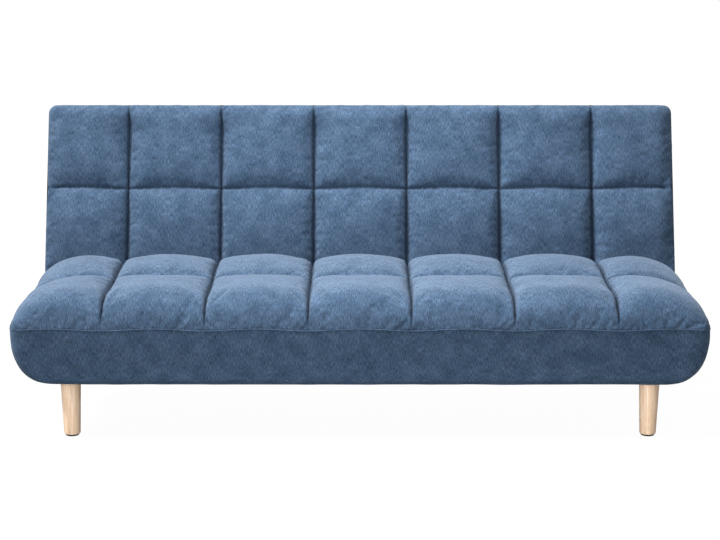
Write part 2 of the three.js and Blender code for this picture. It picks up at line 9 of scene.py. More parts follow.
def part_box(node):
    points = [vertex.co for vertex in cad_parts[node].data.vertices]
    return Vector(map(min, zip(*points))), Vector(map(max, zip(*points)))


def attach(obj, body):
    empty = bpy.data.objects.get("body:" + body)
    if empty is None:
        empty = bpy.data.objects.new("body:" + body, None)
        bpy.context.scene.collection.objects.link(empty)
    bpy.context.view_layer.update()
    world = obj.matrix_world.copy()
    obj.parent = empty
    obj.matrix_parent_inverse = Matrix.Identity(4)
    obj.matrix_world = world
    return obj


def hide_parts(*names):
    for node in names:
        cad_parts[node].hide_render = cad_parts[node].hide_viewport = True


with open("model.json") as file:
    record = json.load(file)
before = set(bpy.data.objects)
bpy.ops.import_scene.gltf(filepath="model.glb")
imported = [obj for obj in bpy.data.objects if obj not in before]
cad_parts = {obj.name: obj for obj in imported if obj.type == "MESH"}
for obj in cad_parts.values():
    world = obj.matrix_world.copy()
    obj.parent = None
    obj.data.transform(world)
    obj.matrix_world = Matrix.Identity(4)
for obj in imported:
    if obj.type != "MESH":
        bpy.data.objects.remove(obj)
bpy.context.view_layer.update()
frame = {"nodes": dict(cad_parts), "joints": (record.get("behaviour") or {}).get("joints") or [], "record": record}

# ------------------------------------------------------------------ sizes taken from the frame
seat_low, seat_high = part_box("seat_cover")
HALF = seat_high.x
FRONT = seat_low.y
DEPTH = seat_high.y - seat_low.y
BOTTOM = seat_low.z
BACK_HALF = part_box("back_cover")[1].x
HINGE = next(joint for joint in frame["joints"] if joint["name"] == "back_hinge")
PIVOT = Vector(HINGE["pos_m"])

# ------------------------------------------------------------------ upholstery, in metres
STEP = 0.0053  # grid spacing of the quilted covers
PLAIN_STEP = 0.008  # and of the plain ones
COLUMN = 0.265  # distance between column seams
COLUMN_STEPS = 52  # grid steps across a column
COLUMN_SEAMS = [COLUMN * (i + 0.5) for i in range(-3, 3)]
SEAM_WAVE = 0.0025  # a straight seam dips this much at each column seam
SEAM_TUCK = 0.0008  # the covers turn in this far at their perimeter seam
WELT = 0.0012  # radius of the sewn edge inside the seam

# Seat: a quilted top over a plain band. Depths are measured from the front face.
SEAM_Z = 0.301  # perimeter seam between top and band
CREST = 0.396 - SEAM_Z  # height of the pillows above the seam
SHOULDER = 0.200  # width of the roll from the top down to the side seam
SHOULDER_POWER = 2.2  # superellipse power of that roll
KNEE = 0.095  # depth of the roll at the front, above the seam
REAR_ROLL = 0.040  # and at the rear
REAR_SWELL = 0.010  # the rear pillows stand this much higher
REAR_SWELL_AT = 0.400  # at this depth
REAR_SWELL_REACH = 0.10  # and less and less over about this distance from it
SEAT_ROW = 0.275  # depth of the row seam
SEAT_CORNER = 0.028  # plan radius of the front corners
BELLY_Z = 0.282  # where the sides start to run in under the seat
BELLY = 0.100  # how far they run in
BELLY_POWER = 2.3  # superellipse power of that curve
HEM = 0.012  # radius of the rear corners and of the lower edge
UNDERSIDE = (0.700, 0.065, 0.450)  # half width, front and rear of the opening under the seat

# Backrest, in its own frame: y to its rear, z up along it, from the hinge axis
LEAN = math.radians(20)
BACK_R = 0.060  # radius of the rounded lower end
BACK_TOP = 0.476
BACK_ROLL = 0.024  # depth from the front surface to the perimeter seam
BACK_CORE = BACK_R - BACK_ROLL
BACK_SIDE_ROLL = 0.060  # width of the roll at each side
BACK_TOP_ROLL = 0.040  # and at the top
BACK_POWER = 2.2  # superellipse power of both
BACK_CORNER = 0.025  # radius of the two top corners, seen from the front
BACK_REAR_ROLL = 0.014  # radius of the edge of the rear panel
BACK_ROW = 0.235  # height of the row seam
POCKET_X = (0.706, 0.752)  # the hinge pockets, from side to side
POCKET_FRONT = -0.035  # how far forward they reach
POCKET_TOP = 0.044
NOSE_HELD = 0.15  # length of cloth round the lower end that is stapled down


# ------------------------------------------------------------------ lines and grids
def ease(t):
    """Goes smoothly from 0 to 1 as t does, and stays level outside that."""
    t = np.clip(t, 0, 1)
    return t * t * (3 - 2 * t)


def lengths(curve):
    """Distance along a line at each of its points."""
    gaps = np.linalg.norm(np.diff(curve, axis=0), axis=1)
    return np.concatenate([[0], np.cumsum(gaps)])


def points_at(curve, at):
    """The points of a line at these distances along it."""
    length = lengths(curve)
    return np.stack([np.interp(at, length, c) for c in curve.T], axis=1)


def resample(curve, step=STEP):
    """The same line in equal steps of about this length."""
    curve = np.asarray(curve, float)
    whole = lengths(curve)[-1]
    return points_at(curve, np.linspace(0, whole, max(2, round(whole / step) + 1)))


def chain(*parts):
    """Lines joined end to end, with the shared points kept once."""
    line = np.concatenate([np.asarray(part, float) for part in parts])
    new = np.linalg.norm(np.diff(line, axis=0), axis=1) > 1e-7
    return line[np.concatenate([[True], new])]


def seam_end(curve):
    """Adds two points near the end of a line, so that a seam there can turn in sharply."""
    length = lengths(curve)
    extra = length[-1] - np.array([0.0032, 0.0014])
    return points_at(curve, np.concatenate([length[:-1], extra, length[-1:]]))


def quarter(power=2.0, count=60):
    """Quarter superellipse from (0, 1) to (1, 0)."""
    a = np.linspace(0, math.pi / 2, count)
    return np.stack([np.sin(a) ** (2 / power), np.cos(a) ** (2 / power)], axis=1)


def mirrored_line(right):
    """A line from the middle to the right, with its mirror image before it."""
    return np.concatenate([right[:0:-1] * [-1, 1], right])


def spread(across, along):
    """Grids of each column of two tables, one for the columns of a mesh and one for its rows."""
    columns = [np.tile(c, (len(along), 1)) for c in across.T]
    rows = [np.tile(c[:, None], (1, len(across))) for c in along.T]
    return columns, rows


def normals(points):
    """Unit normals of a grid of points, from its rows and columns."""
    n = np.cross(np.gradient(points, axis=1), np.gradient(points, axis=0))
    return n / np.maximum(np.linalg.norm(n, axis=2, keepdims=True), 1e-9)


def waves(across, along, size, seed):
    """Smooth noise over a grid, from -1 to 1, with features of about this (width, length)."""
    out = np.empty(across.shape)
    for i, (u, v) in enumerate(zip(across.ravel() / size[0], along.ravel() / size[1])):
        out.flat[i] = noise.noise((u, v, seed))
    return out


def round_corner(x, d, centre_x, centre_d, radius, toward):
    """Squeezes the square corners of an outline, left and right, into quarter circles.

    toward is 1 for the two corners at the far end of d, and -1 for those at the near end.
    """
    a = np.clip((np.abs(x) - centre_x) / radius, 0, None)
    b = np.clip(toward * (d - centre_d) / radius, 0, None)
    inside = (a > 0) & (b > 0)
    new_a = a * np.sqrt(np.clip(1 - b * b / 2, 0, 1))
    new_b = b * np.sqrt(np.clip(1 - a * a / 2, 0, 1))
    x = np.where(inside, np.sign(x) * (centre_x + new_a * radius), x)
    d = np.where(inside, centre_d + toward * new_b * radius, d)
    return x, d


# ------------------------------------------------------------------ pieces
def grid_piece(name, points, across, along, keep=None):
    """A smooth mesh over a grid of points. across and along are distances in the cloth."""
    rows, cols = points.shape[:2]
    index = np.arange(rows * cols).reshape(rows, cols)
    corners = [index[:-1, :-1], index[:-1, 1:], index[1:, 1:], index[1:, :-1]]
    quads = np.stack(corners, axis=-1)
    quads = quads.reshape(-1, 4) if keep is None else quads[keep]
    mesh = bpy.data.meshes.new(name)
    mesh.from_pydata(points.reshape(-1, 3).tolist(), [], quads.tolist())
    mesh.polygons.foreach_set("use_smooth", np.ones(len(quads), bool))
    uv = np.stack([across.ravel(), along.ravel()], axis=1)[quads.ravel()]
    mesh.uv_layers.new(name="cloth").data.foreach_set("uv", uv.astype(np.float32).ravel())
    piece = bpy.data.objects.new(name, mesh)
    bpy.context.scene.collection.objects.link(piece)
    return piece


def tube_piece(name, path, radius, outward, sides=8):
    """A thin round cord along a path. outward gives one direction across it at each point."""
    tangent = np.gradient(path, axis=0)
    tangent /= np.linalg.norm(tangent, axis=1, keepdims=True)
    up = np.cross(tangent, outward)
    angle = np.linspace(0, 2 * math.pi, sides + 1)
    points = path[:, None] + radius * (
        np.cos(angle)[None, :, None] * outward[:, None] + np.sin(angle)[None, :, None] * up[:, None]
    )
    along = np.tile(lengths(path)[:, None], (1, sides + 1))
    across = np.tile(angle * radius, (len(path), 1))
    return grid_piece(name, points, across, along)


def finish_piece(piece, body, material, levels=0, thickness=0.0):
    """Gives a piece its material, thickness and subdivision, and lets it ride on its body."""
    piece.data.materials.clear()
    piece.data.materials.append(material)
    if thickness:
        solid = piece.modifiers.new("thickness", "SOLIDIFY")
        solid.thickness = thickness
    if levels:
        smooth = piece.modifiers.new("smooth", "SUBSURF")
        smooth.levels = levels
        smooth.render_levels = levels
    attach(piece, body)
    return piece


# ------------------------------------------------------------------ materials
class Nodes:
    """A small builder for node materials."""

    def __init__(self, name):
        self.material = bpy.data.materials.new(name)
        self.material.use_nodes = True
        self.tree = self.material.node_tree
        self.shader = self.tree.nodes["Principled BSDF"]

    def add(self, kind, **settings):
        """A new node with these settings."""
        node = self.tree.nodes.new(kind)
        for key, value in settings.items():
            setattr(node, key, value)
        return node

    def feed(self, source, target, name):
        """Links a node's first output, or a socket, to one of another node's inputs."""
        socket = source if isinstance(source, bpy.types.NodeSocket) else source.outputs[0]
        self.tree.links.new(socket, target.inputs[name])

    def math(self, operation, a, b):
        """A sum or product of two nodes or numbers."""
        node = self.add("ShaderNodeMath", operation=operation)
        for slot, value in ((0, a), (1, b)):
            if isinstance(value, (int, float)):
                node.inputs[slot].default_value = value
            else:
                self.feed(value, node, slot)
        return node

    def noise(self, vector, scale, detail=2.0, roughness=0.5, distortion=0.0):
        """A noise texture."""
        node = self.add("ShaderNodeTexNoise")
        node.inputs["Scale"].default_value = scale
        node.inputs["Detail"].default_value = detail
        node.inputs["Roughness"].default_value = roughness
        node.inputs["Distortion"].default_value = distortion
        self.feed(vector, node, "Vector")
        return node

    def stretch(self, vector, scale):
        """Coordinates scaled by a factor for each axis."""
        node = self.add("ShaderNodeMapping")
        node.inputs["Scale"].default_value = scale
        self.feed(vector, node, "Vector")
        return node

    def ramp(self, source, stops):
        """A colour ramp through these (place, colour) stops."""
        node = self.add("ShaderNodeValToRGB")
        elements = node.color_ramp.elements
        while len(elements) < len(stops):
            elements.new(0.5)
        for element, (place, colour) in zip(elements, stops):
            element.position = place
            element.color = colour
        self.feed(source, node, "Fac")
        return node

    def mix(self, factor, a, b, blend="MIX"):
        """The mix of two colours, each a node, a socket or a value."""
        node = self.add("ShaderNodeMix", data_type="RGBA", blend_type=blend)
        for slot, value in ((0, factor), (6, a), (7, b)):
            if isinstance(value, (int, float, tuple)):
                node.inputs[slot].default_value = value
            else:
                self.feed(value, node, slot)
        return node.outputs[2]

    def bump(self, height, distance, strength):
        """A bump from a height texture, at most this distance high."""
        node = self.add("ShaderNodeBump")
        node.inputs["Distance"].default_value = distance
        node.inputs["Strength"].default_value = strength
        self.feed(height, node, "Height")
        return node


def grey(value):
    """A grey of this brightness."""
    return (value, value, value, 1.0)


# The colours of the chenille: its darker and lighter patches, a painted sheen where it is seen at a slant, and
# painted shade in its creases
FABRIC_DARK = (0.037, 0.068, 0.118, 1)
FABRIC_LIGHT = (0.066, 0.108, 0.176, 1)
FABRIC_PAINTED_SHEEN = (0.190, 0.245, 0.325, 1)
FABRIC_CREASE_SHADE = (0.008, 0.016, 0.032, 1)


def chenille(name="blue_chenille"):
    """Heathered blue chenille: slubbed yarns along the cloth, brushed patches, a painted sheen at a slant and
    painted shade in its creases.
    """
    made = Nodes(name)
    cloth = made.add("ShaderNodeUVMap", uv_map="cloth")
    slub = made.noise(made.stretch(cloth, (470, 84, 1)), 1.0, 2.0, 0.6)
    weft = made.noise(made.stretch(cloth, (150, 620, 1)), 1.0, 2.0, 0.5)
    patches = made.noise(cloth, 21.0, 3.0, 0.55)
    marks = made.noise(made.stretch(cloth, (75, 55, 1)), 1.0, 4.0, 0.75)
    # painted shade: a mark stored on each quilted cover says how deep in its seams a point lies, where shade falls
    painted_crease_shade = made.add("ShaderNodeAttribute", attribute_name="painted_crease_shade").outputs["Fac"]
    shade = made.ramp(painted_crease_shade, [(0.0, grey(0.0)), (0.35, grey(0.55)), (1.0, grey(0.95))])
    facing = made.add("ShaderNodeLayerWeight")
    # painted sheen: the base colour turns paler and whiter where the cloth is seen at a slant
    painted_sheen = made.ramp(facing.outputs["Facing"], [(0.25, grey(0.0)), (0.95, grey(0.40))])
    body = made.ramp(patches, [(0.30, FABRIC_DARK), (0.70, FABRIC_LIGHT)])
    streak = made.ramp(slub, [(0.34, grey(0.62)), (0.66, grey(1.38))])
    fleck = made.ramp(weft, [(0.35, grey(0.88)), (0.65, grey(1.12))])
    scuff = made.ramp(marks, [(0.34, grey(0.86)), (0.50, grey(1.0)), (0.70, grey(1.10))])
    body = made.mix(painted_sheen, body, FABRIC_PAINTED_SHEEN)
    tone = made.mix(1.0, body, streak, "MULTIPLY")
    tone = made.mix(1.0, tone, fleck, "MULTIPLY")
    tone = made.mix(1.0, tone, scuff, "MULTIPLY")
    # painted shade in the seams: the colour goes to a near-black blue there
    tone = made.mix(shade, tone, FABRIC_CREASE_SHADE)
    height = made.math("ADD", made.math("MULTIPLY", slub, 0.6), made.math("MULTIPLY", weft, 0.4))
    made.feed(tone, made.shader, "Base Color")
    made.feed(made.bump(height, 0.0015, 0.7), made.shader, "Normal")
    made.shader.inputs["Roughness"].default_value = 0.95
    made.shader.inputs["Specular IOR Level"].default_value = 0.1
    made.shader.inputs["Sheen Weight"].default_value = 0.10
    made.shader.inputs["Sheen Roughness"].default_value = 0.5
    made.shader.inputs["Sheen Tint"].default_value = (0.66, 0.82, 1.0, 1.0)
    return made.material


def beech(name="pale_beech"):
    """Pale beech with fine grain along the leg and short darker flecks."""
    made = Nodes(name)
    place = made.add("ShaderNodeTexCoord").outputs["Object"]
    grain = made.noise(made.stretch(place, (150, 150, 6)), 1.0, 4.0, 0.6, 0.8)
    pores = made.noise(made.stretch(place, (900, 900, 45)), 1.0, 2.0, 0.5)
    broad = made.noise(made.stretch(place, (40, 40, 3)), 1.0, 2.0, 0.5)
    growth = [(0.30, (0.62, 0.42, 0.27, 1)), (0.55, (0.80, 0.59, 0.42, 1)), (0.75, (0.90, 0.72, 0.54, 1))]
    body = made.ramp(grain, growth)
    fleck = made.ramp(pores, [(0.34, grey(0.82)), (0.46, grey(1.0))])
    tint = made.ramp(broad, [(0.35, grey(0.93)), (0.65, grey(1.05))])
    tone = made.mix(1.0, body, fleck, "MULTIPLY")
    tone = made.mix(1.0, tone, tint, "MULTIPLY")
    made.feed(tone, made.shader, "Base Color")
    made.feed(made.ramp(grain, [(0.3, grey(0.5)), (0.7, grey(0.38))]), made.shader, "Roughness")
    made.feed(made.bump(pores, 0.0003, 0.5), made.shader, "Normal")
    return made.material


def powder_coat(name="black_powder_coat"):
    """Black powder coat with a fine orange peel and a little dust."""
    made = Nodes(name)
    place = made.add("ShaderNodeTexCoord").outputs["Object"]
    peel = made.noise(place, 900.0, 2.0)
    dust = made.noise(place, 14.0, 4.0, 0.6)
    made.feed(made.ramp(dust, [(0.35, grey(0.012)), (0.75, grey(0.028))]), made.shader, "Base Color")
    made.feed(made.ramp(dust, [(0.3, grey(0.38)), (0.8, grey(0.58))]), made.shader, "Roughness")
    made.feed(made.bump(peel, 0.0004, 0.5), made.shader, "Normal")
    return made.material


def zinc(name="zinc_plate"):
    """Zinc-plated steel with a cloudy, faintly streaked finish."""
    made = Nodes(name)
    place = made.add("ShaderNodeTexCoord").outputs["Object"]
    cloud = made.noise(place, 60.0, 4.0, 0.6)
    streak = made.noise(made.stretch(place, (60, 1200, 1200)), 1.0, 2.0)
    made.feed(made.ramp(cloud, [(0.3, grey(0.42)), (0.7, grey(0.62))]), made.shader, "Base Color")
    made.feed(made.ramp(cloud, [(0.3, grey(0.32)), (0.7, grey(0.5))]), made.shader, "Roughness")
    made.feed(made.bump(streak, 0.0002, 0.3), made.shader, "Normal")
    made.shader.inputs["Metallic"].default_value = 0.95
    return made.material


def moulded_plastic(name="black_plastic"):
    """Black moulded plastic with a fine spark-eroded texture and light scuffs."""
    made = Nodes(name)
    place = made.add("ShaderNodeTexCoord").outputs["Object"]
    grain = made.noise(place, 1500.0, 1.0)
    scuff = made.noise(place, 90.0, 4.0, 0.7)
    made.feed(made.ramp(scuff, [(0.4, grey(0.010)), (0.75, grey(0.03))]), made.shader, "Base Color")
    made.feed(made.ramp(scuff, [(0.3, grey(0.5)), (0.8, grey(0.72))]), made.shader, "Roughness")
    made.feed(made.bump(grain, 0.0002, 0.6), made.shader, "Normal")
    return made.material


def woven(name, dark, light, scale):
    """A plain weave in two tones. Each unit of scale gives it 3.2 threads to the metre."""
    made = Nodes(name)
    place = made.add("ShaderNodeTexCoord").outputs["Object"]
    over = made.add("ShaderNodeTexWave", bands_direction="X")
    under = made.add("ShaderNodeTexWave", bands_direction="Y")
    for wave in (over, under):
        wave.inputs["Scale"].default_value = scale
        wave.inputs["Distortion"].default_value = 0.6
        made.feed(place, wave, "Vector")
    weave = made.math("MULTIPLY", over, under)
    fluff = made.noise(place, 220.0, 3.0, 0.6)
    both = made.math("ADD", made.math("MULTIPLY", weave, 0.5), made.math("MULTIPLY", fluff, 0.5))
    tone = made.ramp(both, [(0.2, dark), (0.7, light)])
    made.feed(tone, made.shader, "Base Color")
    made.feed(made.bump(weave, 0.0006, 0.6), made.shader, "Normal")
    made.shader.inputs["Roughness"].default_value = 0.9
    return made.material


# ------------------------------------------------------------------ quilting
SIM_FRAMES = 20
SIM_PRESSURE = 4.0
SIM_SLACK = 0.02  # share of extra cloth
SIM_CAP = 0.006  # most that the cloth may move, in metres
LUMP = (0.0016, 0.12)  # height and width of the filling's broad lumps
SMALL_LUMP = (0.0009, 0.05)
PUCKER = 0.0014  # height of the puckers
PUCKER_SIZE = (0.014, 0.060)  # their width along a seam and length away from it
PUCKER_REACH = 0.018  # how fast they fade away from a seam
EDGE_PUCKER = 0.018  # size of the rounder puckers along the outer edge
EDGE_PUCKER_REACH = 0.012  # how fast they fade away from it
EDGE_PUCKER_START = 0.004  # and how soon they begin
LUMP_FADE = 0.02  # the lumps fade out this near the outer edge
CREASE_SHADE_WIDTH = 0.0030  # half width of the painted shade line in a column seam
# half width of the painted shade line in the row seam
ROW_CREASE_SHADE_WIDTH = 0.0026
ROW_SHADE = 0.7  # how dark the row's painted shade line is beside a column's
SHADE_START = 0.004  # the painted shade lines begin this far in from the outer edge
SHADE_RISE = 0.040  # and reach their full depth over this length

# How a cover sinks at its seams: (width, depth) of the rounded edge beside a seam, and (reach,
# depth) of the wide crown round it. A column seam's edge grows from its first pair to its second.
COLUMN_CROWN = 0.017
SEAT_COLUMN_EDGES = ((0.007, 0.006), (0.016, 0.019))
SEAT_ROW_EDGE = (0.013, 0.008)
SEAT_ROW_CROWN = (0.125, 0.014)
BACK_COLUMN_EDGES = ((0.007, 0.004), (0.015, 0.015))
BACK_ROW_EDGE = (0.012, 0.008)
BACK_ROW_CROWN = (0.115, 0.015)
BACK_LOWER_CROWN = (0.15, 0.018)  # where the backrest turns in above the seat

# The distances over which those valleys come in or fade out
SEAT_RISE = 0.13  # from the front seam
SEAT_FOOT = 0.045  # the same, for the part of a valley at the front seam itself
SEAT_FOOT_SHARE = 0.1  # share of the valley's depth that is left there
SEAT_FADE = 0.07  # to the rear seam
SEAT_ROW_START = 0.02  # the row's valley begins this far from the front seam
SEAT_ROW_RISE = 0.10  # and grows over this length
SEAT_ROW_FADE = 0.10  # to the sides
BACK_RISE = 0.10  # down from the top seam
BACK_START = 0.06  # from the lower edge, behind the rounded end
BACK_ROW_FADE = 0.04  # to the sides
BACK_ROW_SHARE = 0.2  # share of the row's depth that is left at the sides


def inflate(piece, sewn):
    """Lets a cover bulge between its seams under pressure, by cloth simulation."""
    mesh = piece.data
    start = np.empty(len(mesh.vertices) * 3)
    mesh.vertices.foreach_get("co", start)
    group = piece.vertex_groups.new(name="sewn")
    group.add([int(i) for i in np.flatnonzero(sewn)], 1.0, "REPLACE")
    cloth = piece.modifiers.new("cloth", "CLOTH")
    cloth.settings.vertex_group_mass = "sewn"
    cloth.settings.use_pressure = True
    cloth.settings.uniform_pressure_force = SIM_PRESSURE
    cloth.settings.shrink_min = -SIM_SLACK
    cloth.settings.effector_weights.gravity = 0
    cloth.point_cache.frame_start = 1
    cloth.point_cache.frame_end = SIM_FRAMES
    scene = bpy.context.scene
    for step in range(1, SIM_FRAMES + 1):
        scene.frame_set(step)
    result = piece.evaluated_get(bpy.context.evaluated_depsgraph_get()).data
    end = np.empty_like(start)
    result.vertices.foreach_get("co", end)
    piece.modifiers.remove(cloth)
    piece.vertex_groups.clear()
    move = (end - start).reshape(-1, 3)
    size = np.maximum(np.linalg.norm(move, axis=1, keepdims=True), 1e-9)
    move *= SIM_CAP * np.tanh(size / SIM_CAP) / size
    mesh.vertices.foreach_set("co", start + move.ravel())
    mesh.update()
    scene.frame_set(1)


def valley(distance, edge, edge_depth, reach, crown):
    """How far the cover sinks near a seam: a rounded edge beside it, on a wide crown."""
    near = np.clip(1 - distance / edge, 0, 1)
    wide = np.clip(1 - distance / reach, 0, 1)
    return edge_depth * (1 - np.sqrt(1 - near ** 2)) + crown * wide ** 2


def column_valley(column, edges, share):
    """The valley of a column seam, where its edge has grown by this share."""
    edge, edge_depth = (a + (b - a) * share for a, b in zip(*edges))
    return valley(column, edge, edge_depth, COLUMN / 2, COLUMN_CROWN * share)


def column_distance(x):
    """Distance from x to the nearest column seam."""
    return np.min([np.abs(x - seam) for seam in COLUMN_SEAMS], axis=0)


def column_lines():
    """x of the grid lines from the middle to the last column seam, closer near the seams."""
    t = np.linspace(-1, 1, COLUMN_STEPS + 1)
    t = (t + np.sin(t * math.pi / 2)) / 2
    middles = COLUMN * np.arange(3)
    lines = np.concatenate([m + t[:-1] * COLUMN / 2 for m in middles] + [COLUMN_SEAMS[-1:]])
    lines = lines[lines > -1e-9]
    return np.stack([lines, np.ones_like(lines)], axis=1)


def quilt(name, base, u, s, column, row, dip, border, seed, pinned=False, keep=None):
    """A quilted cover: a base surface drawn in at its seams, with lumps and puckers.

    u and s are distances in the cloth; column, row and border are distances to the nearest
    column seam, to the row seam and to the edge; dip is how far the cover sinks. pinned marks
    the cloth held still while it inflates, and keep the quads that the piece has.
    """
    lumps = LUMP[0] * waves(u, s, (LUMP[1], LUMP[1]), seed)
    lumps += SMALL_LUMP[0] * waves(u, s, (SMALL_LUMP[1], SMALL_LUMP[1]), seed + 1)
    pull = np.exp(-column / PUCKER_REACH) * waves(u, s, PUCKER_SIZE[::-1], seed + 2)
    pull += np.exp(-row / PUCKER_REACH) * waves(u, s, PUCKER_SIZE, seed + 3)
    at_edge = np.exp(-border / EDGE_PUCKER_REACH) * ease(border / EDGE_PUCKER_START)
    pull += at_edge * waves(u, s, (EDGE_PUCKER, EDGE_PUCKER), seed + 4)
    tuck = SEAM_TUCK * np.exp(-border / SEAM_TUCK)
    lift = ease(border / LUMP_FADE) * lumps + PUCKER * pull - dip - tuck
    points = base + normals(base) * lift[:, :, None]
    piece = grid_piece(name, points, u, s, keep)
    # painted shade along the column and row seams, kept on the mesh for the chenille to darken its colour
    in_column = np.exp(-((column / CREASE_SHADE_WIDTH) ** 1.5))
    in_row = ROW_SHADE * np.exp(-((row / ROW_CREASE_SHADE_WIDTH) ** 1.5))
    shade = np.maximum(in_column, in_row)
    shade *= ease((border - SHADE_START) / SHADE_RISE)
    mark = piece.data.attributes.new("painted_crease_shade", "FLOAT", "POINT")
    mark.data.foreach_set("value", shade.ravel().astype(np.float32))
    sewn = (column < 1e-4) | (row < STEP / 2) | (border < STEP) | pinned
    inflate(piece, sewn.ravel())
    return piece


# ------------------------------------------------------------------ seat
def seat_across():
    """(x, share of the crest height) from the left side seam to the right one."""
    roll = quarter(SHOULDER_POWER) * [SHOULDER, CREST] + [HALF - SHOULDER, 0]
    outer = resample(chain([[COLUMN_SEAMS[-1], CREST]], roll))
    return mirrored_line(chain(column_lines(), seam_end(outer) / [1, CREST]))


def seat_along():
    """(depth, share of the crest height) from the front seam over the knee to the rear seam."""
    knee = quarter() * [-KNEE, CREST] + [KNEE, 0]
    front = seam_end(resample(chain([[SEAT_ROW, CREST]], knee)))[::-1]
    roll = quarter() * [REAR_ROLL, CREST] + [DEPTH - REAR_ROLL, 0]
    rear = seam_end(resample(chain([[SEAT_ROW, CREST]], roll)))
    return chain(front, rear) / [1, CREST]


def seam_height(x):
    """Height of the seat's perimeter seam, which dips where the column seams meet it."""
    return SEAM_Z + SEAM_WAVE * np.cos(2 * math.pi * x / COLUMN)


def seat_quilt():
    """The quilted top of the seat, from the front seam over the knee to the rear seam."""
    across, along = seat_across(), seat_along()
    (x, f), (d, g) = spread(across, along)
    seam = seam_height(x)
    swell = REAR_SWELL * f * np.exp(-(((d - REAR_SWELL_AT) / REAR_SWELL_REACH) ** 2))
    z = seam + (SEAM_Z + CREST - seam) * f * g + swell
    column = column_distance(x)
    x, d = round_corner(x, d, HALF - SEAT_CORNER, SEAT_CORNER, SEAT_CORNER, -1)
    x, d = round_corner(x, d, HALF - HEM, DEPTH - HEM, HEM, 1)
    base = np.stack([x, FRONT + d, z], axis=2)
    run_u = lengths(across * [1, CREST])
    run_s = lengths(along * [1, CREST])
    row_at = run_s[np.argmin(np.abs(along[:, 0] - SEAT_ROW))]
    (u,), (s,) = spread(run_u[:, None] - run_u[-1] / 2, run_s[:, None])
    row = np.abs(s - row_at)
    side = run_u[-1] / 2 - np.abs(u)
    border = np.minimum(side, np.minimum(s, run_s[-1] - s))
    fade = ease((run_s[-1] - s) / SEAT_FADE)
    foot = SEAT_FOOT_SHARE + (1 - SEAT_FOOT_SHARE) * ease(s / SEAT_FOOT)
    across_dip = column_valley(column, SEAT_COLUMN_EDGES, ease(s / SEAT_RISE)) * fade * foot
    along_dip = valley(row, *SEAT_ROW_EDGE, *SEAT_ROW_CROWN) * ease(side / SEAT_ROW_FADE)
    knee_row = ease((s - SEAT_ROW_START) / SEAT_ROW_RISE)
    dip = np.hypot(across_dip, along_dip * knee_row)
    return quilt("seat_quilt", base, u, s, column, row, dip, border, 1.5)


def plan_loop(half, front, rear, front_r, rear_r):
    """A rounded rectangle in plan, as (x, depth), from the rear right round by the front.

    Also gives which of its points is in the middle of the front.
    """
    a = np.linspace(0, math.pi / 2, 9)
    rear_corner = np.stack([half - rear_r + rear_r * np.cos(a), rear - rear_r + rear_r * np.sin(a)], 1)
    front_corner = np.stack([half - front_r + front_r * np.cos(a), front + front_r - front_r * np.sin(a)], 1)
    t = np.linspace(0, 1, round(DEPTH / PLAIN_STEP))[1:-1, None]
    side = rear_corner[0] + (front_corner[0] - rear_corner[0]) * t
    right = np.concatenate([rear_corner[::-1], side, front_corner])
    t = np.linspace(1, -1, round(2 * HALF / PLAIN_STEP))[1:-1, None]
    across_front = np.concatenate([t * (half - front_r), np.full_like(t, front)], 1)
    across_rear = np.concatenate([-t * (half - rear_r), np.full_like(t, rear)], 1)
    left = right[::-1] * [-1, 1]
    return np.concatenate([right, across_front, left, across_rear, right[:1]]), len(right) + len(t) // 2


def seat_band():
    """The plain band round the seat, running in under it to the opening for the springs."""
    belly = quarter(BELLY_POWER)[:, ::-1] * [BELLY, BOTTOM - BELLY_Z] + [HALF - BELLY, BELLY_Z]
    outline = resample(chain([[HALF, SEAM_Z]], belly), PLAIN_STEP)
    outline = seam_end(outline[::-1])[::-1]
    rows = []
    for half, z in outline:
        inset = HEM - math.sqrt(max(0.0, HEM ** 2 - max(0.0, HEM - z + BOTTOM) ** 2))
        rows.append((half, inset, DEPTH - inset, z))
    last = np.array(rows[-1])
    opening = np.array([*UNDERSIDE, BOTTOM])
    rows += [last + (opening - last) * t for t in np.linspace(0, 1, 12)[1:]]
    points, across, along = [], [], []
    down = 0.0
    for i, (half, front, rear, z) in enumerate(rows):
        loop, middle = plan_loop(half, front, rear, SEAT_CORNER, HEM)
        if i:
            down += math.dist(rows[i - 1][::3], (half, z))
        wave = (seam_height(loop[:, 0]) - SEAM_Z) * (1 - ease(down / 0.03))
        points.append(np.column_stack([loop[:, 0], FRONT + loop[:, 1], z + wave]))
        run = lengths(loop)
        across.append(run - run[middle])
        along.append(np.full(len(loop), -down))
    points, across, along = np.array(points), np.array(across), np.array(along)
    lumps = 0.0014 * waves(across, along, (0.16, 0.09), 31.5)
    lumps += 0.0007 * waves(across, along, (0.05, 0.03), 33.5)
    tuck = SEAM_TUCK * np.exp(along / SEAM_TUCK)
    points += normals(points) * (lumps * ease(-along / 0.03) - tuck)[:, :, None]
    return grid_piece("seat_band", points, across, along)


def seat_welt():
    """The sewn edge that shows in the seam between the seat's top and its band."""
    loop, _ = plan_loop(HALF, 0, DEPTH, SEAT_CORNER, HEM)
    path = np.column_stack([loop[:, 0], FRONT + loop[:, 1], seam_height(loop[:, 0])])
    tangent = np.gradient(path, axis=0)
    outward = np.cross(tangent, [0, 0, -1])
    outward /= np.linalg.norm(outward, axis=1, keepdims=True)
    return tube_piece("seat_welt", path, WELT, outward)


